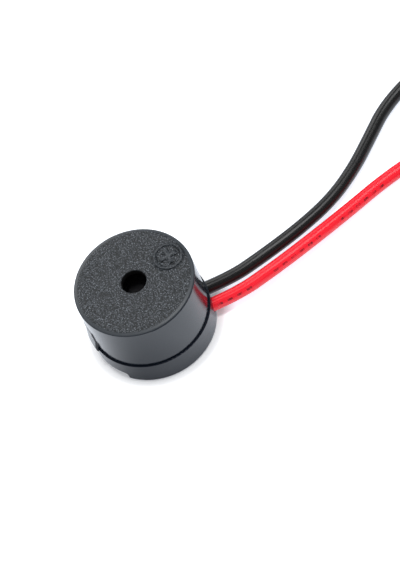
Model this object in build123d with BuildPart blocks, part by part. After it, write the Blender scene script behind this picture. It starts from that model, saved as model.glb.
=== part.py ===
from build123d import *
import math
import os

# Piezo buzzer in a round moulded case, with a red and a black flying lead.
# Millimetres. The origin is on the standing surface, under the middle of the case.
# +Z is up through the sound hole and +X is the way the leads leave.

# Case
case_diameter = 12.0
overall_height = 8.5
case_wall = 0.7
case_top = 0.6
case_edge_radius = 0.2
case_foot_chamfer = 0.06
sound_hole_diameter = 2.5
sound_hole_edge = 0.1
ledge_width = 0.7

# Polarity mark on the top face: a raised ring around a raised plus
mark_azimuth = 18.0
mark_distance = 4.1
mark_turn = 9.0
mark_outer_radius = 1.5
mark_ring_width = 0.28
mark_height = 0.1
plus_length = 1.8
plus_width = 0.52

# Base
base_lip = 0.19
rim_over_leads = 0.74
base_edge_radius = 0.2
base_top_edge = 0.05
seam_gap = 0.07
sole_recess = 0.1
sole_ring_width = 0.85
floor_thickness = 0.4
spigot_below_bond = 0.76
spigot_wall = 0.4
spigot_clearance = 0.05
spigot_chamfer = 0.12
shelf_width = 0.45
shelf_over_leads = 0.3
relief_width = 9.3
relief_height = 1.0
relief_fillet = 0.35
spacer_azimuth = -70.0
spacer_width = 0.6
spacer_count = 2
seat_width = 6.0

# Snap clip opposite the leads: a tongue in the case's slot, with a hook at its foot
clip_width = 3.8
clip_clearance = 0.22
clip_top_gap = 0.05
hook_height = 1.36
hook_drop = 0.44
hook_proud = 0.34
hook_edge = 0.12
hook_slope = 1.0
tongue_proud = 0.1
tongue_slope = 0.4
slot_below_ledge = 0.1

# Sounder
sounder_over_board = 2.8
diaphragm_clearance = 0.1
diaphragm_thickness = 0.12
ceramic_inset = 1.45
ceramic_thickness = 0.12
electrode_inset = 0.35
electrode_thickness = 0.04
bond_depth = 0.42
bond_lap = 0.6

# Driver board
board_thickness = 0.6
board_clearance = 0.05
pad_thickness = 0.04
pad_margin = 0.12
wire_pad_radius = 0.4
wire_joint_top_radius = 0.2
wire_joint_height = 0.2
core_hole_clearance = 0.05
core_joint_radius = 0.62
core_joint_height = 0.45
core_pad_radius = 0.75
core_stand_up = 0.6

transistor_body = (2.9, 1.3, 0.95)
transistor_leg = (0.4, 0.12)
transistor_leg_reach = 0.55
transistor_leg_height = 0.45
transistor_leg_pitch = 0.95
transistor_inset = 1.7
transistor_angle = 135.0

inductor_radius = 1.2
inductor_height = 1.6
inductor_flange = 0.3
inductor_core_radius = 0.55
winding_radius = 1.0
inductor_inset = 1.55
inductor_angle = 222.0

chip_length = 1.6
chip_width = 0.8
chip_terminal = 0.3
resistor_height = 0.45
capacitor_height = 0.8
chip_wrap = 0.03
base_resistor_inset = 0.9
base_resistor_angle = 80.0
load_resistor_gap = 1.45
capacitor_inset = 0.9
capacitor_angle = 290.0

# Fine wires between the board and the sounder
fine_wire_radius = 0.1
fine_wire_bend = 0.3
piezo_joint_radius = 0.3
piezo_joint_tip_radius = 0.16
piezo_joint_height = 0.18
plate_wire_angle = 45.0
plate_wire_inset = 0.75
plate_joint_inset = 0.95
electrode_wire_angle = 182.0
electrode_wire_inset = 0.85
electrode_joint_distance = 2.2
electrode_wire_rise = 2.0

# Leads
lead_diameter = 1.4
lead_length = 95.0
tip_length = 5.0
core_diameter = 0.6
core_bend = 0.6
core_joint_distance = 2.2
lead_pitch = 2.06
lead_hole_clearance = 0.05
lead_tuck = 0.3
lead_straight = 2.03

# The coil that the unseen ends of both leads are wound into
coil_centre = (39.8, -2.4)
coil_radius = 8.4
coil_gap = 0.1
coil_start_angle = 84.0
coil_half_turn = 180.0
black_join_angle = -6.0
red_run_in = 2.9
black_run_in = 3.3

# Levels, from the standing surface up
lead_radius = lead_diameter / 2
core_radius = core_diameter / 2
lead_hole_radius = lead_radius + lead_hole_clearance
floor_top = sole_recess + floor_thickness
lead_height = floor_top + lead_hole_radius
lead_hole_top = lead_height + lead_hole_radius
shelf_height = lead_hole_top + shelf_over_leads
base_height = lead_hole_top + rim_over_leads
case_bottom = base_height + seam_gap
hook_top = base_height + hook_height
board_top = shelf_height + board_thickness
pad_top = board_top + pad_thickness
electrode_bottom = board_top + sounder_over_board
ceramic_bottom = electrode_bottom + electrode_thickness
diaphragm_bottom = ceramic_bottom + ceramic_thickness
ledge = diaphragm_bottom + diaphragm_thickness
slot_top = ledge - slot_below_ledge
spigot_top = diaphragm_bottom - bond_depth - spigot_below_bond
ceiling = overall_height - case_top

# Radii, from the outside in
case_radius = case_diameter / 2
bore_radius = case_radius - case_wall
cavity_radius = bore_radius - ledge_width
diaphragm_radius = bore_radius - diaphragm_clearance
ceramic_radius = diaphragm_radius - ceramic_inset
electrode_radius = ceramic_radius - electrode_inset
base_radius = case_radius + base_lip
sole_radius = base_radius - sole_ring_width
spigot_radius = bore_radius - spigot_clearance
board_seat_radius = spigot_radius - spigot_wall
spigot_middle_radius = spigot_radius - spigot_wall / 2
spacer_radius = case_radius - case_foot_chamfer
board_radius = board_seat_radius - board_clearance
base_cavity_radius = board_seat_radius - shelf_width
lead_inner_end = base_cavity_radius - lead_tuck
lead_sides = {"red": -1, "black": 1}

os.makedirs("parts", exist_ok=True)


def save(part, name):
    """Labels a finished piece and writes it as its own STEP file."""
    part.label = name
    export_step(part, f"parts/{name}.step")


def polar(distance, angle):
    """The point at this distance from the middle and this azimuth in degrees."""
    turn = math.radians(angle)
    return (distance * math.cos(turn), distance * math.sin(turn))


# Case: a cup with a ledge for the diaphragm, a sound hole and a slot for the clip
with BuildPart() as case:
    with BuildSketch(Plane.XY.offset(case_bottom)):
        Circle(case_radius)
    extrude(amount=overall_height - case_bottom)
    fillet(case.edges().group_by(Axis.Z)[-1], case_edge_radius)
    chamfer(case.edges().group_by(Axis.Z)[0], case_foot_chamfer)
    with BuildSketch(Plane.XY.offset(case_bottom)):
        Circle(bore_radius)
    extrude(amount=ledge - case_bottom, mode=Mode.SUBTRACT)
    with BuildSketch(Plane.XY.offset(ledge)):
        Circle(cavity_radius)
    extrude(amount=ceiling - ledge, mode=Mode.SUBTRACT)
    with BuildSketch(Plane.XY.offset(ceiling)):
        Circle(sound_hole_diameter / 2)
    extrude(amount=case_top, mode=Mode.SUBTRACT)
    hole_rims = case.edges().filter_by(GeomType.CIRCLE).filter_by(
        lambda rim: abs(rim.radius - sound_hole_diameter / 2) < 0.001
    )
    fillet(hole_rims.sort_by(Axis.Z)[-1], sound_hole_edge)
    # Slot for the clip
    with BuildSketch(Plane.YZ):
        with Locations((0, (case_bottom + slot_top) / 2)):
            Rectangle(clip_width + 2 * clip_clearance, slot_top - case_bottom)
    extrude(amount=-2 * case_radius, mode=Mode.SUBTRACT)
    # Polarity mark
    mark_place = polar(mark_distance, mark_azimuth)
    with BuildSketch(Plane.XY.offset(overall_height)):
        with Locations(Location(mark_place, mark_turn)):
            Circle(mark_outer_radius)
            Circle(mark_outer_radius - mark_ring_width, mode=Mode.SUBTRACT)
            Rectangle(plus_length, plus_width)
            Rectangle(plus_width, plus_length)
    extrude(amount=mark_height)
save(case.part, "case")

# Clip: its outline seen from the side, turned about the axis and cut to its width
hook_radius = case_radius + hook_proud
hook_bottom = base_height - hook_drop
tongue_radius = case_radius + tongue_proud
tongue_inner_radius = bore_radius + clip_clearance / 2
tongue_top = slot_top - clip_top_gap
with BuildPart() as clip:
    with BuildSketch(Plane.XZ):
        with BuildLine():
            Polyline(
                (spigot_middle_radius, hook_bottom),
                (hook_radius - hook_edge, hook_bottom),
                (hook_radius, hook_bottom + 2 * hook_edge),
                (hook_radius, hook_top - hook_slope),
                (tongue_radius, hook_top),
                (tongue_radius, tongue_top - tongue_slope),
                (case_radius, tongue_top),
                (tongue_inner_radius, tongue_top),
                (tongue_inner_radius, hook_top),
                (spigot_middle_radius, hook_top),
                close=True,
            )
        make_face()
    revolve(axis=Axis.Z)
    with BuildSketch(Plane.YZ):
        with Locations((0, (hook_bottom + tongue_top) / 2)):
            Rectangle(clip_width, tongue_top - hook_bottom)
    extrude(amount=-2 * case_radius, mode=Mode.INTERSECT)

# Base: a shallow tray with a spigot that fits inside the case
with BuildPart() as base:
    with BuildSketch():
        Circle(base_radius)
    extrude(amount=base_height)
    fillet(base.edges().group_by(Axis.Z)[0], base_edge_radius)
    fillet(base.edges().group_by(Axis.Z)[-1], base_top_edge)
    # Finger relief under the clip side, with rounded ends
    with BuildSketch(Plane.YZ):
        with BuildLine():
            half = relief_width / 2
            FilletPolyline(
                (-half - relief_fillet * 2, 0),
                (-half, 0),
                (-half, relief_height),
                (half, relief_height),
                (half, 0),
                (half + relief_fillet * 2, 0),
                radius=relief_fillet,
            )
            Polyline(
                (half + relief_fillet * 2, 0),
                (half + relief_fillet * 2, -relief_height),
                (-half - relief_fillet * 2, -relief_height),
                (-half - relief_fillet * 2, 0),
            )
        make_face()
    extrude(amount=-2 * base_radius, mode=Mode.SUBTRACT)
    # Sole: a disc inside the standing ring, a little off the surface
    with BuildSketch():
        Circle(sole_radius)
    extrude(amount=relief_height)
    with BuildSketch():
        Circle(sole_radius)
    extrude(amount=sole_recess, mode=Mode.SUBTRACT)
    with BuildSketch(Plane.XY.offset(base_height)):
        Circle(spigot_radius)
    extrude(amount=spigot_top - base_height)
    chamfer(base.edges().group_by(Axis.Z)[-1], spigot_chamfer)
    add(clip.part)
    # Inside: the hollow under the board and the seat of the board
    with BuildSketch(Plane.XY.offset(floor_top)):
        Circle(base_cavity_radius)
    extrude(amount=shelf_height - floor_top, mode=Mode.SUBTRACT)
    with BuildSketch(Plane.XY.offset(shelf_height)):
        Circle(board_seat_radius)
    extrude(amount=spigot_top - shelf_height, mode=Mode.SUBTRACT)
    # Holes that the leads pass through
    with BuildSketch(Plane.YZ):
        with Locations(*[(side * lead_pitch / 2, lead_height) for side in lead_sides.values()]):
            Circle(lead_hole_radius)
    extrude(amount=base_radius, mode=Mode.SUBTRACT)
    # Spacers, and a higher rim beside the clip, that hold the case's edge off the base
    with BuildSketch(Plane.XY.offset(base_height)):
        with PolarLocations(
            (spigot_middle_radius + spacer_radius) / 2, spacer_count, spacer_azimuth
        ):
            Rectangle(spacer_radius - spigot_middle_radius, spacer_width)
    extrude(amount=seam_gap)
    with BuildSketch(Plane.XY.offset(base_height - base_top_edge)):
        Circle(base_radius)
        Circle(spigot_middle_radius, mode=Mode.SUBTRACT)
        with Locations((-case_radius, 0)):
            Rectangle(case_radius, seat_width, mode=Mode.INTERSECT)
    extrude(amount=base_top_edge + seam_gap)
save(base.part, "base")

# Diaphragm: a brass plate under the ledge, with the ceramic and its electrode below it
with BuildPart() as diaphragm:
    with BuildSketch(Plane.XY.offset(diaphragm_bottom)):
        Circle(diaphragm_radius)
    extrude(amount=diaphragm_thickness)
save(diaphragm.part, "diaphragm")

with BuildPart() as piezo_disc:
    with BuildSketch(Plane.XY.offset(ceramic_bottom)):
        Circle(ceramic_radius)
    extrude(amount=ceramic_thickness)
save(piezo_disc.part, "piezo_disc")

with BuildPart() as electrode:
    with BuildSketch(Plane.XY.offset(electrode_bottom)):
        Circle(electrode_radius)
    extrude(amount=electrode_thickness)
save(electrode.part, "electrode")

# Bond ring: a bead of silicone in the corner between the diaphragm and the case
with BuildPart() as bond_ring:
    with BuildSketch(Plane.XZ):
        with BuildLine():
            Line((bore_radius - bond_lap, diaphragm_bottom), (bore_radius, diaphragm_bottom))
            Line((bore_radius, diaphragm_bottom), (bore_radius, diaphragm_bottom - bond_depth))
            RadiusArc(
                (bore_radius, diaphragm_bottom - bond_depth),
                (bore_radius - bond_lap, diaphragm_bottom),
                bond_lap + bond_depth,
            )
        make_face()
    revolve(axis=Axis.Z)
save(bond_ring.part, "bond_ring")

# Circuit board: a disc on the shelf, with a hole for each lead's core
core_places = [(core_joint_distance, side * lead_pitch / 2) for side in lead_sides.values()]
plate_pad = polar(board_radius - plate_wire_inset, plate_wire_angle)
electrode_pad = polar(board_radius - electrode_wire_inset, electrode_wire_angle)
with BuildPart() as circuit_board:
    with BuildSketch(Plane.XY.offset(shelf_height)):
        Circle(board_radius)
        with Locations(*core_places):
            Circle(core_radius + core_hole_clearance, mode=Mode.SUBTRACT)
    extrude(amount=board_thickness)
save(circuit_board.part, "circuit_board")

# Places of the parts on the board, each with its long side across the radius
transistor_place = Location(
    polar(board_radius - transistor_inset, transistor_angle), transistor_angle + 90
)
inductor_place = Location(
    polar(board_radius - inductor_inset, inductor_angle), inductor_angle + 90
)
base_resistor_place = Location(
    polar(board_radius - base_resistor_inset, base_resistor_angle), base_resistor_angle + 90
)
load_resistor_place = Location((core_joint_distance - load_resistor_gap, 0), 90)
capacitor_place = Location(
    polar(board_radius - capacitor_inset, capacitor_angle), capacitor_angle + 90
)

# Where each part's feet stand, in its own axes: the place and the size of a foot
transistor_foot = (transistor_leg[0], transistor_leg_reach)
transistor_reach = transistor_body[1] / 2 + transistor_leg_reach / 2
transistor_feet = [
    (-transistor_leg_pitch, -transistor_reach),
    (transistor_leg_pitch, -transistor_reach),
    (0, transistor_reach),
]
chip_foot = (chip_terminal, chip_width)
chip_reach = chip_length / 2 - chip_terminal / 2
chip_feet = [(-chip_reach, 0), (chip_reach, 0)]
inductor_foot = (inductor_flange * 2, inductor_radius)
inductor_reach = inductor_radius - inductor_flange
inductor_feet = [(-inductor_reach, 0), (inductor_reach, 0)]

# Solder pads: thin tinned lands on the board under every foot and joint
with BuildPart() as solder_pads:
    with BuildSketch(Plane.XY.offset(board_top)):
        with Locations(*core_places):
            Circle(core_pad_radius)
            Circle(core_radius + core_hole_clearance, mode=Mode.SUBTRACT)
        with Locations(plate_pad, electrode_pad):
            Circle(wire_pad_radius)
        for place, feet, foot in (
            (transistor_place, transistor_feet, transistor_foot),
            (base_resistor_place, chip_feet, chip_foot),
            (load_resistor_place, chip_feet, chip_foot),
            (capacitor_place, chip_feet, chip_foot),
            (inductor_place, inductor_feet, inductor_foot),
        ):
            with Locations(place):
                with Locations(*feet):
                    Rectangle(foot[0] + pad_margin, foot[1] + pad_margin)
    extrude(amount=pad_thickness)
save(solder_pads.part, "solder_pads")

# Driver transistor: a moulded body held up by three bent legs
transistor_bottom = pad_top + transistor_leg_height - transistor_body[2] / 2 + transistor_leg[1] / 2
with BuildPart() as driver_transistor:
    with BuildSketch(Plane.XY.offset(transistor_bottom)):
        with Locations(transistor_place):
            Rectangle(transistor_body[0], transistor_body[1])
    extrude(amount=transistor_body[2])
    chamfer(driver_transistor.edges().group_by(Axis.Z)[-1], transistor_leg[1])
save(driver_transistor.part, "driver_transistor")

# Its legs are Z-shaped: a foot on its pad, a riser, and a short run into the body's side.
leg_width, leg_thickness = transistor_leg
body_side = transistor_body[1] / 2
riser = body_side + transistor_leg_reach / 2
with BuildPart() as transistor_legs:
    for x, y in transistor_feet:
        turn = math.copysign(90, y)
        frame = Plane(transistor_place * Location((x, 0), turn))
        with BuildSketch(Plane(frame.origin, x_dir=frame.x_dir, z_dir=-frame.y_dir)):
            with BuildLine():
                Polyline(
                    (body_side, pad_top + transistor_leg_height),
                    (body_side, pad_top + transistor_leg_height + leg_thickness),
                    (riser, pad_top + transistor_leg_height + leg_thickness),
                    (riser, pad_top + leg_thickness),
                    (body_side + transistor_leg_reach, pad_top + leg_thickness),
                    (body_side + transistor_leg_reach, pad_top),
                    (riser - leg_thickness, pad_top),
                    (riser - leg_thickness, pad_top + transistor_leg_height),
                    close=True,
                )
            make_face()
        extrude(amount=leg_width / 2, both=True)
save(transistor_legs.part, "transistor_legs")

# Inductor: a ferrite drum with its copper winding between the flanges
with BuildPart() as inductor_core:
    with BuildSketch(Plane.XY.offset(pad_top)):
        with Locations(inductor_place):
            Circle(inductor_radius)
    extrude(amount=inductor_flange)
    with BuildSketch(Plane.XY.offset(pad_top + inductor_flange)):
        with Locations(inductor_place):
            Circle(inductor_core_radius)
    extrude(amount=inductor_height - 2 * inductor_flange)
    with BuildSketch(Plane.XY.offset(pad_top + inductor_height - inductor_flange)):
        with Locations(inductor_place):
            Circle(inductor_radius)
    extrude(amount=inductor_flange)
save(inductor_core.part, "inductor_core")

with BuildPart() as inductor_winding:
    with BuildSketch(Plane.XY.offset(pad_top + inductor_flange)):
        with Locations(inductor_place):
            Circle(winding_radius)
            Circle(inductor_core_radius, mode=Mode.SUBTRACT)
    extrude(amount=inductor_height - 2 * inductor_flange)
save(inductor_winding.part, "inductor_winding")

# Chip parts: ceramic bodies between pairs of metal end terminals
chips = {
    "base_resistor": (base_resistor_place, resistor_height),
    "load_resistor": (load_resistor_place, resistor_height),
    "chip_capacitor": (capacitor_place, capacitor_height),
}
for name, (place, height) in chips.items():
    with BuildPart() as chip:
        with BuildSketch(Plane.XY.offset(pad_top + chip_wrap)):
            with Locations(place):
                Rectangle(chip_length - 2 * chip_terminal, chip_width - 2 * chip_wrap)
        extrude(amount=height - 2 * chip_wrap)
    save(chip.part, name)

with BuildPart() as chip_terminals:
    for place, height in chips.values():
        with BuildSketch(Plane.XY.offset(pad_top)):
            with Locations(place):
                with Locations(*chip_feet):
                    Rectangle(chip_terminal, chip_width)
        extrude(amount=height)
save(chip_terminals.part, "chip_terminals")

# Solder on the board: a cone around each lead's core and a cone under each fine wire
with BuildPart() as board_solder:
    for x, y in core_places:
        with BuildSketch(Plane.XZ.offset(-y)):
            with BuildLine():
                Polyline(
                    (x + core_radius, pad_top),
                    (x + core_joint_radius, pad_top),
                    (x + core_radius + core_hole_clearance, pad_top + core_joint_height),
                    (x + core_radius, pad_top + core_joint_height),
                    close=True,
                )
            make_face()
        revolve(axis=Axis((x, y, 0), (0, 0, 1)))
    for place in (plate_pad, electrode_pad):
        with BuildSketch(Plane.XY.offset(pad_top)):
            with Locations(place):
                Circle(wire_pad_radius - pad_margin / 2)
        with BuildSketch(Plane.XY.offset(pad_top + wire_joint_height)):
            with Locations(place):
                Circle(wire_joint_top_radius)
        loft()
save(board_solder.part, "board_solder")

# Solder under the sounder: one joint on the brass plate and one on the electrode
plate_joint = polar(diaphragm_radius - plate_joint_inset, plate_wire_angle)
electrode_joint = polar(electrode_joint_distance, electrode_wire_angle)
with BuildPart() as piezo_solder:
    for place, top in ((plate_joint, diaphragm_bottom), (electrode_joint, electrode_bottom)):
        with BuildSketch(Plane.XY.offset(top - piezo_joint_height)):
            with Locations(place):
                Circle(piezo_joint_tip_radius)
        with BuildSketch(Plane.XY.offset(top)):
            with Locations(place):
                Circle(piezo_joint_radius)
        loft()
save(piezo_solder.part, "piezo_solder")

# Fine wires from the board up to the sounder
wire_foot = pad_top + wire_joint_height
plate_wire_head = diaphragm_bottom - piezo_joint_height
electrode_wire_head = electrode_bottom - piezo_joint_height
plate_wire_level = (wire_foot + plate_wire_head) / 2
electrode_wire_level = board_top + electrode_wire_rise
fine_wires = {
    "plate_wire": [
        (*plate_pad, wire_foot),
        (*plate_pad, plate_wire_level - fine_wire_bend),
        (*plate_joint, plate_wire_level + fine_wire_bend),
        (*plate_joint, plate_wire_head),
    ],
    "electrode_wire": [
        (*electrode_pad, wire_foot),
        (*electrode_pad, electrode_wire_level),
        (*electrode_joint, electrode_wire_level),
        (*electrode_joint, electrode_wire_head),
    ],
}
for name, points in fine_wires.items():
    with BuildPart() as fine_wire:
        with BuildLine() as wire_path:
            FilletPolyline(*points, radius=fine_wire_bend)
        with BuildSketch(Plane(points[0], z_dir=(0, 0, 1))):
            Circle(fine_wire_radius)
        sweep(path=wire_path.line)
    save(fine_wire.part, name)


def corner_radii(points):
    """The radius of each corner: as large as the two runs that meet there allow."""
    radii = []
    for before, corner, after in zip(points, points[1:], points[2:]):
        run_in = Vector(*corner) - Vector(*before)
        run_out = Vector(*after) - Vector(*corner)
        half_turn = math.radians(run_in.get_angle(run_out)) / 2
        radii.append(0.45 * min(run_in.length, run_out.length) / math.tan(half_turn))
    return radii


# The coil is wound in half turns about two centres, so that it draws in by one pitch a turn.
coil_pitch = lead_diameter + coil_gap
coil_out = Vector(*polar(1, coil_start_angle))
coil_middle = Vector(*coil_centre)


def coil_point(radius, angle, back=0):
    """A point on the first half turn, or this far back along the tangent there."""
    out = Vector(*polar(1, angle))
    place = coil_middle + out * radius - Vector(out.Y, -out.X) * back
    return (place.X, place.Y, 0)


def coil_arcs(radius, first_angle, length):
    """Centre, radius, start and span of each clockwise arc that this length of lead takes."""
    arcs = []
    angle = first_angle
    half_turn_end = coil_start_angle - coil_half_turn
    while length > 0.001:
        arc_radius = radius - len(arcs) * coil_pitch / 2
        centre = coil_middle - coil_out * (coil_pitch / 2 * (len(arcs) % 2))
        span = min(angle - half_turn_end, math.degrees(length / arc_radius))
        arcs.append((centre, arc_radius, angle, span))
        length -= math.radians(span) * arc_radius
        angle -= span
        half_turn_end -= coil_half_turn
    return arcs


def along_arcs(arcs, radius):
    """A round bar of this radius along a chain of clockwise arcs."""
    with BuildPart() as bar:
        with BuildLine(Plane.XY.offset(lead_radius)) as arc_path:
            for centre, arc_radius, start, span in arcs:
                CenterArc((centre.X, centre.Y), arc_radius, start, -span)
        with BuildSketch(Plane(arc_path.line @ 0, z_dir=arc_path.line % 0)):
            Circle(radius)
        sweep(path=arc_path.line)
    return bar.part


# The leads' routes, chosen by hand: out of the base, down to the surface, and to the coil.
# The third number of a point is how far the lead is lifted off the surface there.
red_coil_radius = coil_radius
black_coil_radius = coil_radius + coil_pitch
lead_routes = {
    "red": [
        (13.0, 0.15, 0.8),
        (17.6, 1.85, 0.6),
        (22.0, 3.75, 0.2),
        (26.0, 5.5, 0),
        (30.4, 6.75, 0),
        (34.8, 6.8, 0),
        coil_point(red_coil_radius, coil_start_angle, red_run_in),
        coil_point(red_coil_radius, coil_start_angle),
    ],
    "black": [
        (12.4, 2.0, 0.8),
        (16.8, 3.6, 0.6),
        (20.8, 5.65, 0.3),
        (24.0, 8.3, 0.1),
        (26.6, 11.1, 0),
        (29.2, 13.9, 0),
        (33.2, 16.3, 0),
        (38.0, 16.9, 0),
        (42.8, 15.5, 0),
        (46.8, 12.4, 0),
        (49.4, 8.2, 0),
        (50.4, 3.2, 0),
        coil_point(black_coil_radius, black_join_angle, black_run_in),
        coil_point(black_coil_radius, black_join_angle),
    ],
}
coil_entries = {
    "red": (red_coil_radius, coil_start_angle),
    "black": (black_coil_radius, black_join_angle),
}

for colour, side in lead_sides.items():
    side_y = side * lead_pitch / 2
    # Stripped core inside the base: in along the lead, then up through the board
    with BuildPart() as core:
        with BuildLine() as core_path:
            FilletPolyline(
                (lead_inner_end, side_y, lead_height),
                (core_joint_distance, side_y, lead_height),
                (core_joint_distance, side_y, board_top + core_stand_up),
                radius=core_bend,
            )
        with BuildSketch(Plane(core_path.line @ 0, z_dir=core_path.line % 0)):
            Circle(core_radius)
        sweep(path=core_path.line)
    save(core.part, f"{colour}_core")

    # Insulated lead as far as the coil
    route = [
        (lead_inner_end, side_y, lead_height),
        (base_radius + lead_straight, side_y, lead_height),
        *[(x, y, lead_radius + lift) for x, y, lift in lead_routes[colour]],
    ]
    radii = corner_radii(route)
    with BuildPart() as lead:
        with BuildLine() as lead_path:
            FilletPolyline(*route, radius=radii)
        with BuildSketch(Plane(lead_path.line @ 0, z_dir=lead_path.line % 0)):
            Circle(lead_radius)
        sweep(path=lead_path.line)
    save(lead.part, f"{colour}_lead")
    path_length = lead_path.wire().length
    volume_share = lead.part.volume / (math.pi * lead_radius**2 * path_length)
    print(colour, "corner radii", [round(radius, 1) for radius in radii])
    print(colour, "tube", round(path_length, 2), "volume share", round(volume_share, 4))

    # The rest of the insulated lead in the coil, and its stripped and tinned tip
    wound_length = lead_length - (path_length - (base_radius - lead_inner_end))
    entry_radius, entry_angle = coil_entries[colour]
    arcs = coil_arcs(entry_radius, entry_angle, wound_length)
    save(along_arcs(arcs, lead_radius), f"{colour}_coil")
    last_centre, last_radius, last_start, last_span = arcs[-1]
    tip_arc = (last_centre, last_radius, last_start - last_span, math.degrees(tip_length / last_radius))
    save(along_arcs([tip_arc], core_radius), f"{colour}_tip")
    print(colour, "wound", round(wound_length, 2), "arcs", len(arcs))
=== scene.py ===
import math

import bmesh
import bpy
from mathutils import Matrix, Vector


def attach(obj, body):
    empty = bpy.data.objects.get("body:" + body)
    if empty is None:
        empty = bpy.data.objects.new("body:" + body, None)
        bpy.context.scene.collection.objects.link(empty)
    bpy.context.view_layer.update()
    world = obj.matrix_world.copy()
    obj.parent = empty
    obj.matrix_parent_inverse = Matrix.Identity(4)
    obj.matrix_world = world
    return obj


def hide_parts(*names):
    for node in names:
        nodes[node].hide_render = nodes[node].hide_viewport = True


# %% [markdown]
# # Piezo buzzer with two flying leads
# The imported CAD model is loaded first. Its case, base and inner parts are already the right
# shape, so they stay as they are and only need materials. The two leads are made again here
# as smooth curves, because real wire bends evenly. Blender works in metres and this part is
# 12 mm across, so MM turns millimetres into metres wherever a size is written.

# %% Load the frame
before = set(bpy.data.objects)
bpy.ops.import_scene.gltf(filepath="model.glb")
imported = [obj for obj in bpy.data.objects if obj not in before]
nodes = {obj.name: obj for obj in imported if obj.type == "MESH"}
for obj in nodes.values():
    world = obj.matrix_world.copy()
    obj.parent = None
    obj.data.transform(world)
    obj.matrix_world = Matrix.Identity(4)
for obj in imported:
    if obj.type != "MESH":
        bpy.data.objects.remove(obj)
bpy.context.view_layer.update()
MM = 0.001

# %% [markdown]
# ## Camera
# A long lens from far away flattens the picture, as in a catalogue photograph. The camera looks
# down at 56 degrees and is rolled, so the leads run up to the right. A camera could be aimed
# with a Track To constraint, but three axes worked out one by one keep the roll exact.

# %% Camera
CAMERA_AZIMUTH = math.radians(4.0)
CAMERA_ELEVATION = math.radians(56.0)
CAMERA_ROLL = math.radians(-24.93)
CAMERA_DISTANCE = 220 * MM
CAMERA_LENS = 143.48
# The camera looks at a point at this height on the part's axis. It is then slid so far to
# the right and up, which puts the part left of the picture's middle and a little below it.
AIM_HEIGHT = 4.75
SLIDE_RIGHT = 5.455
SLIDE_UP = 1.568

turn = Matrix.Rotation(CAMERA_AZIMUTH, 3, "Z")
back = turn @ Vector((0, -math.cos(CAMERA_ELEVATION), math.sin(CAMERA_ELEVATION)))
right = turn @ Vector((1, 0, 0))
up = back.cross(right)
rolled_right = right * math.cos(CAMERA_ROLL) + up * math.sin(CAMERA_ROLL)
rolled_up = up * math.cos(CAMERA_ROLL) - right * math.sin(CAMERA_ROLL)

camera_data = bpy.data.cameras.new("camera")
camera_data.lens = CAMERA_LENS
camera_data.sensor_width = 36.0
camera_data.clip_start = 0.01
camera_data.clip_end = 10.0
camera = bpy.data.objects.new("camera", camera_data)
bpy.context.scene.collection.objects.link(camera)
camera.rotation_mode = "QUATERNION"
camera.rotation_quaternion = Matrix((rolled_right, rolled_up, back)).transposed().to_quaternion()
camera.location = (
    back * CAMERA_DISTANCE
    + rolled_right * SLIDE_RIGHT * MM
    + rolled_up * SLIDE_UP * MM
    + Vector((0, 0, AIM_HEIGHT * MM))
)
bpy.context.scene.camera = camera
bpy.context.scene.view_settings.view_transform = "Standard"
print("camera at mm", [round(c / MM, 1) for c in camera.location])

# %% [markdown]
# ## Small helpers
# A material is a graph of nodes. Writing each node in full takes several lines, so node()
# adds one and fills its inputs. The others build on it: math_node() does one step of
# arithmetic, mapped() stretches a number to another range, mixed() blends two colours,
# ramp() turns a number into a colour, and bumped() joins a height to the shader as a bump.


# %% Helpers for objects
def add_object(name, data):
    """Puts a mesh or curve into the scene as an object at the origin."""
    obj = bpy.data.objects.new(name, data)
    bpy.context.scene.collection.objects.link(obj)
    return obj


def toward(azimuth, elevation):
    """The direction to a place in the sky, from its angles in degrees."""
    turn, rise = math.radians(azimuth), math.radians(elevation)
    level = math.cos(rise)
    return Vector((math.cos(turn) * level, math.sin(turn) * level, math.sin(rise)))


def paint(material, *names):
    """Gives CAD nodes their finished material."""
    for name in names:
        nodes[name].data.materials.clear()
        nodes[name].data.materials.append(material)
    print(material.name, "on", ", ".join(names))


def finish_piece(piece, material, slot, *replaced):
    """A new piece gets its material, rides with the model, and stands for CAD nodes."""
    piece.data.materials.append(material)
    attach(piece, "root")
    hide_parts(*replaced)


# %% Helpers for materials
def new_material(name, colour, roughness, metallic=0.0, ior=1.5):
    """A node material whose Principled shader has these plain values."""
    material = bpy.data.materials.new(name)
    material.use_nodes = True
    shader = material.node_tree.nodes["Principled BSDF"]
    shader.inputs["Base Color"].default_value = (*colour, 1)
    shader.inputs["Roughness"].default_value = roughness
    shader.inputs["Metallic"].default_value = metallic
    shader.inputs["IOR"].default_value = ior
    return material, material.node_tree, shader


def node(tree, kind, settings=None, **inputs):
    """Adds a node. An input is named with underscores for spaces, or i0, i1 by number."""
    made = tree.nodes.new("ShaderNode" + kind)
    for key, value in (settings or {}).items():
        setattr(made, key, value)
    for key, value in inputs.items():
        by_number = key[0] == "i" and key[1:].isdigit()
        socket = made.inputs[int(key[1:]) if by_number else key.replace("_", " ")]
        if isinstance(value, bpy.types.NodeSocket):
            tree.links.new(value, socket)
        else:
            socket.default_value = value
    return made


def math_node(tree, operation, *values):
    """One arithmetic step on sockets or plain numbers."""
    inputs = {f"i{k}": value for k, value in enumerate(values)}
    return node(tree, "Math", {"operation": operation}, **inputs).outputs[0]


def mapped(tree, value, low, high, at_low, at_high, shape="LINEAR"):
    """Goes from at_low to at_high while the value goes from low to high, and stops there."""
    made = node(tree, "MapRange", {"interpolation_type": shape},
                Value=value, i1=low, i2=high, i3=at_low, i4=at_high)
    return made.outputs[0]


def mixed(tree, factor, first, second):
    """The first colour where the factor is 0, and the second where it is 1."""
    first, second = ((*c, 1) if isinstance(c, tuple) else c for c in (first, second))
    return node(tree, "MixRGB", i0=factor, i1=first, i2=second).outputs[0]


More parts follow.
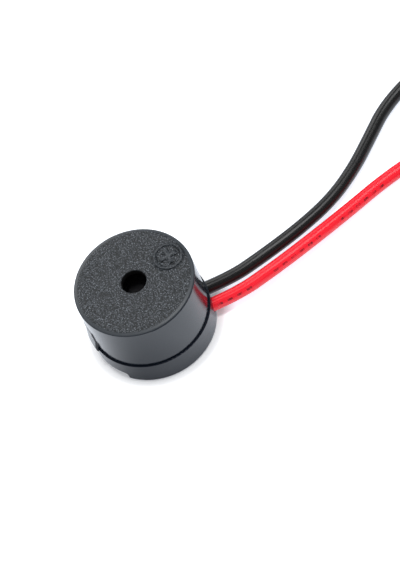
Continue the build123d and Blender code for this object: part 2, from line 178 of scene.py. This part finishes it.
def ramp(tree, factor, *stops):
    """A colour ramp through (position, grey or colour) stops."""
    made = tree.nodes.new("ShaderNodeValToRGB")
    tree.links.new(factor, made.inputs["Fac"])
    while len(made.color_ramp.elements) < len(stops):
        made.color_ramp.elements.new(0.5)
    for element, (position, colour) in zip(made.color_ramp.elements, stops):
        element.position = position
        element.color = (*(colour if isinstance(colour, tuple) else [colour] * 3), 1)
    return made.outputs["Color"]


def object_place(tree):
    """The point on the surface, in the object's own metres."""
    return tree.nodes.new("ShaderNodeTexCoord").outputs["Object"]


def facing_up(tree):
    """How far a face looks up: 1 on a flat top, 0 on a wall, -1 underneath."""
    normal = tree.nodes.new("ShaderNodeNewGeometry").outputs["Normal"]
    return node(tree, "SeparateXYZ", Vector=normal).outputs["Z"]


def noise(tree, place, size_mm, detail=2.0):
    """Soft noise whose lumps are about this many millimetres across, from 0 to 1."""
    made = node(tree, "TexNoise", Vector=place, Scale=1 / (size_mm * MM), Detail=detail)
    return made.outputs["Fac"]


def bumped(tree, shader, height, depth_mm, normal=None):
    """Shades the surface as if it rose by this depth where the height is 1."""
    bump = node(tree, "Bump", Height=height, Distance=depth_mm * MM, Strength=1.0)
    if normal:
        tree.links.new(normal, bump.inputs["Normal"])
    tree.links.new(bump.outputs["Normal"], shader.inputs["Normal"])
    return bump.outputs["Normal"]


# %% [markdown]
# ## The route of each lead
# A lead is a NURBS curve whose control points are the corners of its route, the same points
# that the CAD tube bends round. Order 3 gives a line that curves evenly and never leaves
# the corners' outline. A Bezier curve would do as well, but its handles are more to set.
# The part that the photograph doesn't show lies in a small flat coil, and its control points
# stand on a circle a little outside the real one, because the line cuts inside them.

# %% Route sizes
LEAD_RADIUS = 0.7
TIP_RADIUS = 0.3
TIP_LENGTH = 5.0
COIL_CENTRE = Vector((39.8, -2.4))
COIL_RADIUS = 8.4
COIL_PITCH = 1.5
COIL_START = 84.0
COIL_POINTS_PER_TURN = 16
LYING = LEAD_RADIUS

# Each route starts inside the base, leaves through its wall and sinks to the surface.
lead_routes = {
    "red": [
        (4.1, -1.03, 1.25), (8.25, -1.03, 1.25), (13.0, 0.15, 1.5), (17.6, 1.85, 1.3),
        (22.0, 3.75, 0.9), (26.0, 5.5, LYING), (30.4, 6.75, LYING), (34.8, 6.8, LYING),
        (37.79, 6.26, LYING),
    ],
    "black": [
        (4.1, 1.03, 1.25), (8.25, 1.03, 1.25), (12.4, 2.0, 1.5), (16.8, 3.6, 1.3),
        (20.8, 5.65, 1.0), (24.0, 8.3, 0.8), (26.6, 11.1, LYING), (29.2, 13.9, LYING),
        (33.2, 16.3, LYING), (38.0, 16.9, LYING), (42.8, 15.5, LYING), (46.8, 12.4, LYING),
        (49.4, 8.2, LYING), (50.4, 3.2, LYING), (49.99, -0.15, LYING),
    ],
}
# Where each lead joins the coil: the radius, the angle, and how much is left to wind.
coil_entries = {
    "red": (COIL_RADIUS, COIL_START, 59.13),
    "black": (COIL_RADIUS + COIL_PITCH, -6.0, 31.8),
}
print("corners", {colour: len(route) for colour, route in lead_routes.items()})


# %% Points of the coil
def coil_points(radius, start, length):
    """Control points of a flat clockwise coil that draws in by half a pitch each half turn."""
    out = Vector((math.cos(math.radians(COIL_START)), math.sin(math.radians(COIL_START))))
    points, half_turns = [], 0
    while length > 0.001:
        centre = COIL_CENTRE - out * (COIL_PITCH / 2 * (half_turns % 2))
        span = min(start - COIL_START + 180 * (half_turns + 1), math.degrees(length / radius))
        count = math.ceil(span * COIL_POINTS_PER_TURN / 360)
        step = span / count
        reach = radius / math.cos(math.radians(step / 2))
        for k in range(count):
            angle = math.radians(start - (k + 0.5) * step)
            x = centre.x + reach * math.cos(angle)
            y = centre.y + reach * math.sin(angle)
            points.append((x, y, LYING))
        start -= span
        length -= math.radians(span) * radius
        radius -= COIL_PITCH / 2
        half_turns += 1
    angle = math.radians(start)
    radius += COIL_PITCH / 2
    end = (centre.x + radius * math.cos(angle), centre.y + radius * math.sin(angle), LYING)
    return points, end


# %% Smooth lines
def route_line(name, points):
    """The points, in metres, that Blender's own NURBS curve gives for these control points."""
    curve = bpy.data.curves.new(name, "CURVE")
    curve.dimensions = "3D"
    spline = curve.splines.new("NURBS")
    spline.points.add(len(points) - 1)
    for target, point in zip(spline.points, points):
        target.co = (*(Vector(point) * MM), 1)
    spline.order_u = 3
    spline.use_endpoint_u = True
    spline.resolution_u = 12
    probe = add_object(name, curve)
    bpy.context.view_layer.update()
    mesh = bpy.data.meshes.new_from_object(probe)
    line = [vertex.co.copy() for vertex in mesh.vertices]
    bpy.data.objects.remove(probe)
    bpy.data.meshes.remove(mesh)
    return line


def length_of(line):
    """The length of a line through its points."""
    return sum((b - a).length for a, b in zip(line, line[1:]))


# Each line is cut where the insulation ends. What follows is the stripped tip.
lead_lines, tip_lines = {}, {}
for colour, route in lead_routes.items():
    radius, start, wound = coil_entries[colour]
    coil_end = Vector(coil_points(radius, start, wound)[1]) * MM
    turns, end = coil_points(radius, start, wound + TIP_LENGTH)
    line = route_line(colour + "_route", route + turns + [end])
    cut = min(range(len(line)), key=lambda k: (line[k] - coil_end).length)
    lead_lines[colour] = line[: cut + 1]
    tip_lines[colour] = line[cut:]
    print(colour, "insulated mm", round(length_of(line[: cut + 1]) / MM, 1),
          "tip mm", round(length_of(line[cut:]) / MM, 1),
          "off the CAD end mm", round((line[cut] - coil_end).length / MM, 3))

# %% [markdown]
# ## World
# The object is small and black, so what it reflects matters more than its own colour. The
# world lights it evenly, but in reflections it is dark with two soft bright patches, one
# behind the part and one overhead, like the lamps of a studio. Lamps that show in
# reflections would do as well, but a patch of the sky has no hard edge.

# %% World
SKY_LIGHT = (0.78, 0.78, 0.78)
SKY_IN_REFLECTIONS = 0.13
WHITE = (1, 1, 1)
# Each patch: azimuth, elevation, the radius of its full part and of its edge, in degrees.
PATCH_BEHIND, BEHIND_BRIGHTNESS = (110, 36, 6, 24), 2.8
PATCH_OVERHEAD, OVERHEAD_BRIGHTNESS = (12, 76, 4, 20), 5.0


def bright_patch(tree, direction, azimuth, elevation, inner, outer):
    """A soft round patch of the sky, 1 inside and 0 outside."""
    dot = node(tree, "VectorMath", {"operation": "DOT_PRODUCT"},
               i0=direction, i1=toward(azimuth, elevation)).outputs["Value"]
    edge, full = math.cos(math.radians(outer)), math.cos(math.radians(inner))
    return mapped(tree, dot, edge, full, 0.0, 1.0, "SMOOTHSTEP")


world = bpy.data.worlds.new("studio")
world.use_nodes = True
bpy.context.scene.world = world
tree = world.node_tree
ways = tree.nodes.new("ShaderNodeLightPath")
direction = tree.nodes.new("ShaderNodeTexCoord").outputs["Generated"]
behind = bright_patch(tree, direction, *PATCH_BEHIND)
behind = math_node(tree, "MULTIPLY", behind, BEHIND_BRIGHTNESS)
overhead = bright_patch(tree, direction, *PATCH_OVERHEAD)
overhead = math_node(tree, "MULTIPLY", overhead, OVERHEAD_BRIGHTNESS)
patches = math_node(tree, "ADD", behind, overhead)
reflected = math_node(tree, "ADD", patches, SKY_IN_REFLECTIONS)
lighting = mixed(tree, ways.outputs["Is Glossy Ray"], SKY_LIGHT, reflected)
seen = mixed(tree, ways.outputs["Is Camera Ray"], lighting, WHITE)
tree.links.new(seen, tree.nodes["Background"].inputs["Color"])
print("world nodes", len(tree.nodes))

# %% [markdown]
# ## Floor
# The part stands on white paper. Is Camera Ray lifts the paper to white for the eye, and
# less so close to the part, where its soft shadow stays. Is Glossy Ray does the same for
# what the part reflects: the paper is a slightly blue white near by, shaded at the foot, and
# dark far away. Neither puts more light on the part itself. A brighter lamp would whiten
# the paper too, but it would also wash out the black plastic.

# %% Floor
FLOOR_HALF_SIZE = 1.5
PAPER = (0.85, 0.85, 0.85)
NEAR_IN_REFLECTIONS = (0.81, 0.85, 0.90)
FAR_IN_REFLECTIONS = (0.12, 0.12, 0.12)
GLOW_COLOUR = (0.90, 0.96, 1.08)
GLOW_IN_REFLECTIONS = 0.42
# The middle of the shade at the foot, on the side that the camera sees.
FOOT_SHADE = (-3.2 * MM, -5.2 * MM, 0)

floor_mesh = bpy.data.meshes.new("floor")
sheet = bmesh.new()
bmesh.ops.create_grid(sheet, x_segments=1, y_segments=1, size=FLOOR_HALF_SIZE)
sheet.to_mesh(floor_mesh)
sheet.free()
floor = add_object("floor", floor_mesh)

floor_material, tree, shader = new_material("floor_white", PAPER, 0.9)
shader.inputs["Specular IOR Level"].default_value = 0.0
ways = tree.nodes.new("ShaderNodeLightPath")
place = object_place(tree)
far = node(tree, "VectorMath", {"operation": "LENGTH"}, i0=place).outputs["Value"]
from_foot = node(tree, "VectorMath", {"operation": "DISTANCE"},
                 i0=place, i1=FOOT_SHADE).outputs["Value"]
near = mapped(tree, far, 28 * MM, 60 * MM, 1.0, 0.0)
lift_far = mapped(tree, far, 6.7 * MM, 8.2 * MM, 0.17, 0.72)
shade = mapped(tree, from_foot, 1 * MM, 8 * MM, 0.35, 1.0)
lift_seen = math_node(tree, "MULTIPLY", ways.outputs["Is Camera Ray"], lift_far)
glossy_near = math_node(tree, "MULTIPLY", ways.outputs["Is Glossy Ray"], near)
glossy_near = math_node(tree, "MULTIPLY", glossy_near, shade)
lift_glossy = math_node(tree, "MULTIPLY", glossy_near, GLOW_IN_REFLECTIONS)
glow = math_node(tree, "ADD", lift_seen, lift_glossy)
tree.links.new(glow, shader.inputs["Emission Strength"])
shader.inputs["Emission Color"].default_value = (*GLOW_COLOUR, 1)
mirrored = mixed(tree, glossy_near, FAR_IN_REFLECTIONS, NEAR_IN_REFLECTIONS)
paper = mixed(tree, ways.outputs["Is Glossy Ray"], PAPER, mirrored)
tree.links.new(paper, shader.inputs["Base Color"])
floor_mesh.materials.append(floor_material)
print("floor metres across", 2 * FLOOR_HALF_SIZE)

# %% [markdown]
# ## Lamps
# Two round lamps stand nearly overhead, so the part's shadow is short and soft. A lamp's
# watts mean little by themselves. The helper starts from the light that should reach the
# floor and works the watts out, so a lamp can be moved without changing the brightness.

# %% Lamps
LAMP_DISTANCE = 0.6
LAMP_SIZE = 0.09
LAMP_ELEVATION = 84


def soft_lamp(name, azimuth, elevation, distance, size, light_on_floor):
    """A round lamp that faces the part. Its power follows from the light on the floor."""
    light = bpy.data.lights.new(name, "AREA")
    light.shape = "DISK"
    light.size = size
    light.energy = (
        light_on_floor * math.pi * math.pi * distance * distance
        / math.sin(math.radians(elevation))
    )
    lamp = add_object(name, light)
    way = toward(azimuth, elevation)
    lamp.location = way * distance
    lamp.rotation_mode = "QUATERNION"
    lamp.rotation_quaternion = way.to_track_quat("Z", "Y")
    lamp.visible_glossy = False
    print(name, "watts", round(light.energy, 2))


soft_lamp("back_lamp", 118, LAMP_ELEVATION, LAMP_DISTANCE, LAMP_SIZE, 0.30)
soft_lamp("side_lamp", 5, LAMP_ELEVATION, LAMP_DISTANCE, LAMP_SIZE, 0.26)

# %% [markdown]
# ## Tubes along a line
# Blender can give a curve a round bevel, but a pattern that runs along the lead needs to
# know how far along it is. So a flat grid with one row for each point of the line is rolled
# up round the line. Before it is rolled, the UV map notes where each corner is: U is the way
# round the tube and V the metres along it. Its two long edges are then merged into a seam,
# and its ends are filled.


# %% Tube helpers
def ring_frames(line):
    """At each point of a line: the point, two directions across the line, the run so far."""
    tangent = (line[1] - line[0]).normalized()
    side = Vector((0, 0, 1)).cross(tangent).normalized()
    run, frames = 0.0, []
    for i, point in enumerate(line):
        tangent = (line[min(i + 1, len(line) - 1)] - line[max(i - 1, 0)]).normalized()
        side = (side - tangent * side.dot(tangent)).normalized()
        run += (point - line[i - 1]).length if i else 0.0
        frames.append((point, side, tangent.cross(side), run))
    return frames


def roll_tube(shape, uv, line, radius, sides):
    """Adds a round tube with open ends to a bmesh."""
    frames = ring_frames(line)
    rows = len(frames) - 1
    grid = bmesh.ops.create_grid(shape, x_segments=sides, y_segments=rows, size=1.0)
    verts = grid["verts"]
    places = {v: ((v.co.x + 1) / 2, round((v.co.y + 1) / 2 * rows)) for v in verts}
    for face in {face for vert in verts for face in vert.link_faces}:
        face.smooth = True
        for loop in face.loops:
            way_round, row = places[loop.vert]
            loop[uv].uv = (way_round, frames[row][3])
    for vert, (way_round, row) in places.items():
        point, side, over, _ = frames[row]
        angle = 2 * math.pi * way_round
        vert.co = point + (side * math.cos(angle) + over * math.sin(angle)) * radius
    bmesh.ops.remove_doubles(shape, verts=verts, dist=radius * 0.01)


def tube_object(name, lines, radius, sides):
    """An object of one closed tube, or of several side by side."""
    shape = bmesh.new()
    uv = shape.loops.layers.uv.new("UVMap")
    for line in lines:
        roll_tube(shape, uv, line, radius, sides)
    open_edges = [edge for edge in shape.edges if edge.is_boundary]
    bmesh.ops.holes_fill(shape, edges=open_edges, sides=0)
    bmesh.ops.recalc_face_normals(shape, faces=shape.faces[:])
    mesh = bpy.data.meshes.new(name)
    shape.to_mesh(mesh)
    print(name, "faces", len(shape.faces))
    shape.free()
    return add_object(name, mesh)


# %% [markdown]
# ## Metals inside the case
# Nothing of the inside shows in the photograph, but the part can be opened in a cutaway, so each
# inner piece gets the finish that the real one has, except that the brass plate's upper face is
# painted dark as painted shade. Metals differ in how rough they are and how the roughness is
# spread: brushed plate, bright solder, dull fired silver.

# %% Metals
BRASS = (0.72, 0.52, 0.23)
# Painted shade: the near-black colour of the brass plate's upper face.
PLATE_PAINTED_SHADE = (0.008, 0.008, 0.009)


def metal(name, colour, low, high, lump_mm, depth_mm):
    """A metal whose roughness wanders between two values, with a fine bump."""
    material, tree, shader = new_material(name, colour, (low + high) / 2, metallic=1.0)
    lumps = noise(tree, object_place(tree), lump_mm, 3.0)
    tree.links.new(ramp(tree, lumps, (0.3, low), (0.7, high)), shader.inputs["Roughness"])
    bumped(tree, shader, lumps, depth_mm)
    return material


tinned = metal("tinned_copper", (0.72, 0.71, 0.70), 0.22, 0.38, 0.08, 0.006)
solder = metal("solder", (0.70, 0.70, 0.71), 0.12, 0.40, 0.25, 0.02)
silver = metal("fired_silver", (0.82, 0.81, 0.78), 0.40, 0.58, 0.05, 0.004)
brass = metal("brass_plate", BRASS, 0.25, 0.42, 0.30, 0.003)
# The plate's upper face is painted dark and not metallic, as painted shade, so nothing shines up
# through the sound hole.
tree = brass.node_tree
shader = tree.nodes["Principled BSDF"]
painted_shade_top = ramp(tree, facing_up(tree), (0.4, 0.0), (0.6, 1.0))
tree.links.new(mixed(tree, painted_shade_top, BRASS, PLATE_PAINTED_SHADE), shader.inputs["Base Color"])
tree.links.new(math_node(tree, "SUBTRACT", 1.0, painted_shade_top), shader.inputs["Metallic"])
paint(tinned, "red_core", "black_core", "transistor_legs", "plate_wire", "electrode_wire")
paint(solder, "solder_pads", "board_solder", "piezo_solder", "chip_terminals")
paint(silver, "electrode")
paint(brass, "diaphragm")

# %% [markdown]
# ## Insulation
# The leads are soft PVC, drawn through a die, so their gloss has faint streaks along the
# wire. The streaks are a noise that is stretched along V. The red lead has a row of small
# plain dashes in a darker red, in groups, that fade in and out. They could be a texture
# image, but a few steps on the UV map draw them at any size.

# %% Insulation
RED = (0.86, 0.006, 0.022)
DARK_RED = (0.16, 0.004, 0.01)
BLACK = (0.008, 0.0085, 0.009)


def insulation(name, colour, roughness):
    """Glossy PVC with faint streaks along the wire, and the UV map they follow."""
    material, tree, shader = new_material(name, colour, roughness, ior=1.53)
    uv = node(tree, "UVMap", {"uv_map": "UVMap"}).outputs["UV"]
    along = node(tree, "Mapping", Vector=uv, Scale=(40, 150, 1)).outputs["Vector"]
    streaks = node(tree, "TexNoise", Vector=along, Scale=1.0, Detail=3.0).outputs["Fac"]
    shine = mapped(tree, streaks, 0.0, 1.0, roughness - 0.06, roughness + 0.10)
    tree.links.new(shine, shader.inputs["Roughness"])
    bumped(tree, shader, streaks, 0.012)
    return material, tree, shader, uv


black_pvc, tree, shader, uv = insulation("black_insulation", BLACK, 0.26)
shader.inputs["Specular IOR Level"].default_value = 0.45
red_pvc, tree, shader, uv = insulation("red_insulation", RED, 0.26)
print("insulation", black_pvc.name, red_pvc.name)

# %% Dashes on the red lead
# DASH_ROUND is the way round the tube, from 0 to 1. The other sizes are millimetres.
DASH_PITCH, DASH_LENGTH, DASH_WIDTH = 1.05, 0.55, 0.24
DASH_ROUND = 0.40
DASHES_PER_GROUP = 8
GROUP_SHARE = 0.75

place = node(tree, "SeparateXYZ", Vector=uv)
metres = place.outputs["Y"]
step = math_node(tree, "FRACT", math_node(tree, "DIVIDE", metres, DASH_PITCH * MM))
along = math_node(tree, "ABSOLUTE", math_node(tree, "SUBTRACT", step, 0.5))
across = math_node(tree, "SUBTRACT", place.outputs["X"], DASH_ROUND)
across = math_node(tree, "ABSOLUTE", across)
# Both are scaled so that 1 is the dash's own edge.
along = math_node(tree, "MULTIPLY", along, 2 * DASH_PITCH / DASH_LENGTH)
across = math_node(tree, "MULTIPLY", across, 4 * math.pi * LEAD_RADIUS / DASH_WIDTH)
inside = math_node(tree, "LESS_THAN", math_node(tree, "MAXIMUM", along, across), 1.0)
group = math_node(tree, "DIVIDE", metres, DASH_PITCH * DASHES_PER_GROUP * MM)
in_group = math_node(tree, "LESS_THAN", math_node(tree, "FRACT", group), GROUP_SHARE)
spaced = math_node(tree, "MULTIPLY", inside, in_group)
fade = ramp(tree, noise(tree, object_place(tree), 0.35), (0.38, 0.15), (0.60, 0.9))
ink = math_node(tree, "MULTIPLY", spaced, fade)
tree.links.new(mixed(tree, ink, RED, DARK_RED), shader.inputs["Base Color"])
print("dash mm", DASH_LENGTH, "by", DASH_WIDTH)

# %% [markdown]
# ## The two leads
# Each lead is one tube along its line, and its stripped end is seven thin tinned strands,
# six twisted round one.

# %% The two leads
STRANDS_ROUND = 6
STRAND_TWIST = 4.5

for colour, material in (("red", red_pvc), ("black", black_pvc)):
    line = lead_lines[colour]
    wire = tube_object(colour + "_wire", [line], LEAD_RADIUS * MM, 32)
    finish_piece(wire, material, colour + "_pvc", colour + "_lead", colour + "_coil")
    # The strands start one point inside the insulation, so no gap shows where it ends.
    tip = [line[-2]] + tip_lines[colour]
    strands = [tip]
    for k in range(STRANDS_ROUND):
        strands.append([])
        for point, side, over, run in ring_frames(tip):
            angle = 2 * math.pi * (k / STRANDS_ROUND + run / (STRAND_TWIST * MM))
            outward = side * math.cos(angle) + over * math.sin(angle)
            strands[-1].append(point + outward * TIP_RADIUS * MM * 2 / 3)
    bare = tube_object(colour + "_strands", strands, TIP_RADIUS * MM / 3, 10)
    finish_piece(bare, tinned, "tinned_wire", colour + "_tip")
    across = -1.03 if colour == "red" else 1.03

# %% [markdown]
# ## Moulded black plastic
# The case is one moulding with two finishes. Its flat top is spark-eroded: the mould was
# roughened by sparks, so the plastic has a fine grain with bright points. Its wall came off
# a polished mould, so it is glossy and mirrors the table. One material does both: the
# surface normal says which way a face looks, and a ramp turns that into a mask. The grain is
# a bump, not real geometry, because each grain is only a tenth of a millimetre across.

# %% Case: the grain
GRAIN_SIZE = 0.12

case_plastic, tree, shader = new_material("case_plastic", (0.030, 0.032, 0.036), 0.2)
place = object_place(tree)
top = ramp(tree, facing_up(tree), (0.45, 0.0), (0.85, 1.0))
cells = node(tree, "TexVoronoi", Vector=place, Scale=1 / (GRAIN_SIZE * MM))
dots = mapped(tree, cells.outputs["Distance"], 0.12, 0.75, 1.0, 0.0, "SMOOTHSTEP")
# Each grain has its own height, which comes from the random colour of its cell.
luck = node(tree, "SeparateXYZ", Vector=cells.outputs["Color"]).outputs["X"]
height = math_node(tree, "ADD", math_node(tree, "MULTIPLY", luck, 0.65), 0.35)
grain = math_node(tree, "MULTIPLY", dots, height)
print("grain mm", GRAIN_SIZE)

# %% [markdown]
# ### The soft edges of the polarity mark
# The ring and the plus are solid in the CAD model, with sharp edges. On the real moulding
# they are soft, so a bump gives them a slope all round. The slope is worked out from the
# distance to the mark's own centre, in a Mapping node's axes.

# %% Case: the mark and the rim
MARK_CENTRE = (3.90, 1.27)
MARK_TURN = 9
RING_MIDDLE = 1.36
RIM_FALL = 0.4
RELIEF_DEPTH = 0.18


def soft_step(tree, value, full_mm, none_mm):
    """1 where a length is under the first size, sloping to 0 at the second."""
    return mapped(tree, value, full_mm * MM, none_mm * MM, 1.0, 0.0, "SMOOTHSTEP")


on_mark = node(tree, "Mapping", {"vector_type": "TEXTURE"}, Vector=place,
               Location=(MARK_CENTRE[0] * MM, MARK_CENTRE[1] * MM, 0),
               Rotation=(0, 0, math.radians(MARK_TURN)))
flat_mark = node(tree, "SeparateXYZ", Vector=on_mark.outputs["Vector"])
side_x = math_node(tree, "ABSOLUTE", flat_mark.outputs["X"])
side_y = math_node(tree, "ABSOLUTE", flat_mark.outputs["Y"])
squares = [math_node(tree, "MULTIPLY", side, side) for side in (side_x, side_y)]
from_centre = math_node(tree, "SQRT", math_node(tree, "ADD", *squares))
from_ring = math_node(tree, "SUBTRACT", from_centre, RING_MIDDLE * MM)
ring = soft_step(tree, math_node(tree, "ABSOLUTE", from_ring), 0.0, 0.34)
arms = []
for long, short in ((side_x, side_y), (side_y, side_x)):
    within = soft_step(tree, long, 0.70, 1.04), soft_step(tree, short, 0.04, 0.42)
    arms.append(math_node(tree, "MULTIPLY", *within))
raised = math_node(tree, "MAXIMUM", ring, math_node(tree, "MAXIMUM", *arms))
# The top also falls away a little just inside its rim.
level = node(tree, "VectorMath", {"operation": "MULTIPLY"}, i0=place, i1=(1, 1, 0))
off_axis = node(tree, "VectorMath", {"operation": "LENGTH"},
                i0=level.outputs["Vector"]).outputs["Value"]
rim = math_node(tree, "MULTIPLY", soft_step(tree, off_axis, 5.45, 5.90), RIM_FALL)
relief = math_node(tree, "MULTIPLY", math_node(tree, "ADD", raised, rim), top)
soft_mark = bumped(tree, shader, relief, RELIEF_DEPTH)
print("mark at mm", MARK_CENTRE)

# %% [markdown]
# ### Gloss and colour
# The grain is left out on the smooth rim and is weaker on the mark. In the photograph the tips
# of the grain look paler than the plastic round them, so the grain also drives the colour:
# partly the grain's own tone and partly a painted sparkle highlight, where the real tips catch
# the light.

# %% Case: gloss and colour
GRAIN_DEPTH = 0.04
HOLE_RADIUS = 1.27
WALL_COLOUR = (0.009, 0.013, 0.020)
# Painted shade for the plastic inside the sound hole.
HOLE_PAINTED_SHADE = (0.001, 0.001, 0.001)
TOP_ROUGHNESS = (0.34, 0.34, 0.34)
HOLE_ROUGHNESS = (0.9, 0.9, 0.9)

smooth = math_node(tree, "SUBTRACT", 1.0, soft_step(tree, off_axis, 5.55, 5.72))
smooth = math_node(tree, "MAXIMUM", math_node(tree, "MULTIPLY", raised, 0.5), smooth)
worn = math_node(tree, "SUBTRACT", 1.0, smooth)
rough_top = math_node(tree, "MULTIPLY", worn, top)
bumped(tree, shader, math_node(tree, "MULTIPLY", grain, rough_top), GRAIN_DEPTH, soft_mark)
satin = ramp(tree, noise(tree, place, 1.5), (0.3, 0.15), (0.7, 0.20))
rough = mixed(tree, top, satin, TOP_ROUGHNESS)
speck = math_node(tree, "ADD", math_node(tree, "MULTIPLY", grain, worn),
                  math_node(tree, "MULTIPLY", smooth, 0.42))
# Painted sparkle highlight: the grain's tips are painted far paler than its hollows, on top of
# the grain's own tone.
grain_tone_and_sparkle = ramp(tree, speck, (0.08, (0.008, 0.010, 0.012)), (0.45, (0.048, 0.055, 0.063)),
            (0.90, (0.22, 0.24, 0.27)))
shade = mixed(tree, top, WALL_COLOUR, grain_tone_and_sparkle)
# Inside the sound hole the plastic is painted near-black as painted shade, because there it
# hardly catches any light, and it is also made dull.
outside = math_node(tree, "GREATER_THAN", off_axis, HOLE_RADIUS * MM)
tree.links.new(mixed(tree, outside, HOLE_ROUGHNESS, rough), shader.inputs["Roughness"])
tree.links.new(mixed(tree, outside, HOLE_PAINTED_SHADE, shade), shader.inputs["Base Color"])
paint(case_plastic, "case")

# %% [markdown]
# ## Base
# The base is a second moulding in plain satin black. A faint noise in its roughness keeps
# its reflections from looking like glass.

# %% Base plastic
base_plastic, tree, shader = new_material("base_plastic", (0.006, 0.009, 0.016), 0.2)
place = object_place(tree)
satin = ramp(tree, noise(tree, place, 1.2), (0.3, 0.16), (0.7, 0.24))
tree.links.new(satin, shader.inputs["Roughness"])
bumped(tree, shader, noise(tree, place, 0.12, 3.0), 0.004)
paint(base_plastic, "base")

# %% [markdown]
# ## Ceramics and moulded bodies
# Fired ceramic and moulded epoxy both have tiny dark and light specks. One helper makes them
# all, from two colours and the size of a speck.


# %% Ceramics
def speckled(name, dark, light, speck_mm, roughness):
    """A fired or moulded body with fine specks."""
    material, tree, shader = new_material(name, light, roughness)
    specks = noise(tree, object_place(tree), speck_mm, 4.0)
    colour = ramp(tree, specks, (0.35, dark), (0.62, light))
    tree.links.new(colour, shader.inputs["Base Color"])
    bumped(tree, shader, specks, 0.006)
    return material


ceramic = speckled("piezo_ceramic", (0.70, 0.67, 0.58), (0.80, 0.78, 0.70), 0.06, 0.65)
ferrite = speckled("ferrite", (0.045, 0.045, 0.05), (0.085, 0.085, 0.09), 0.05, 0.6)
epoxy = speckled("moulded_epoxy", (0.020, 0.020, 0.022), (0.034, 0.034, 0.036), 0.08, 0.5)
glaze = speckled("resistor_glaze", (0.022, 0.022, 0.026), (0.036, 0.036, 0.04), 0.1, 0.25)
tan_body = speckled("capacitor_body", (0.44, 0.31, 0.18), (0.54, 0.40, 0.25), 0.05, 0.45)
paint(ceramic, "piezo_disc")
paint(ferrite, "inductor_core")
paint(epoxy, "driver_transistor")
paint(glaze, "base_resistor", "load_resistor")
paint(tan_body, "chip_capacitor")

# %% [markdown]
# ## Silicone bead
# The bead that holds the brass plate is soft silicone, so it is made cloudy and slightly
# wavy. Both come from soft noise.

# %% Silicone
silicone, tree, shader = new_material("silicone_bead", (0.80, 0.80, 0.78), 0.35, ior=1.41)
place = object_place(tree)
bumped(tree, shader, noise(tree, place, 0.6), 0.03)
cloudy = ramp(tree, noise(tree, place, 0.9),
              (0.3, (0.74, 0.74, 0.71)), (0.7, (0.82, 0.82, 0.80)))
tree.links.new(cloudy, shader.inputs["Base Color"])
paint(silicone, "bond_ring")

# %% [markdown]
# ## Board
# The board is green solder mask on its flat faces and raw yellowish laminate at its cut
# edge. The normal tells the two apart, as it does on the case. A faint wave stands for the
# glass cloth under the mask.

# %% Board
board, tree, shader = new_material("board_laminate", (0.02, 0.17, 0.07), 0.35)
place = object_place(tree)
flat = ramp(tree, math_node(tree, "ABSOLUTE", facing_up(tree)), (0.5, 0.0), (0.7, 1.0))
mask = ramp(tree, noise(tree, place, 0.35),
            (0.35, (0.015, 0.14, 0.055)), (0.65, (0.024, 0.19, 0.08)))
edge = ramp(tree, noise(tree, place, 0.1),
            (0.35, (0.42, 0.36, 0.18)), (0.65, (0.52, 0.46, 0.26)))
tree.links.new(mixed(tree, flat, edge, mask), shader.inputs["Base Color"])
weave = node(tree, "TexWave", {"bands_direction": "DIAGONAL"},
             Vector=place, Scale=1 / (1.6 * MM), Distortion=1.0)
bumped(tree, shader, weave.outputs["Fac"], 0.004)
paint(board, "circuit_board")

# %% [markdown]
# ## Winding
# The winding is many turns of thin lacquered wire. Modelling each turn would cost many faces
# for a piece that is hardly seen, so a wave texture along Z draws them as a bump.

# %% Winding
winding, tree, shader = new_material("enamelled_copper", (0.70, 0.33, 0.14), 0.28, 0.9)
place = object_place(tree)
turns = node(tree, "TexWave", {"bands_direction": "Z", "wave_profile": "SIN"},
             Vector=place, Scale=1 / (1.3 * MM))
bumped(tree, shader, turns.outputs["Fac"], 0.03)
lacquer = ramp(tree, noise(tree, place, 0.2),
               (0.35, (0.60, 0.26, 0.10)), (0.65, (0.76, 0.38, 0.17)))
tree.links.new(lacquer, shader.inputs["Base Color"])
paint(winding, "inductor_winding")
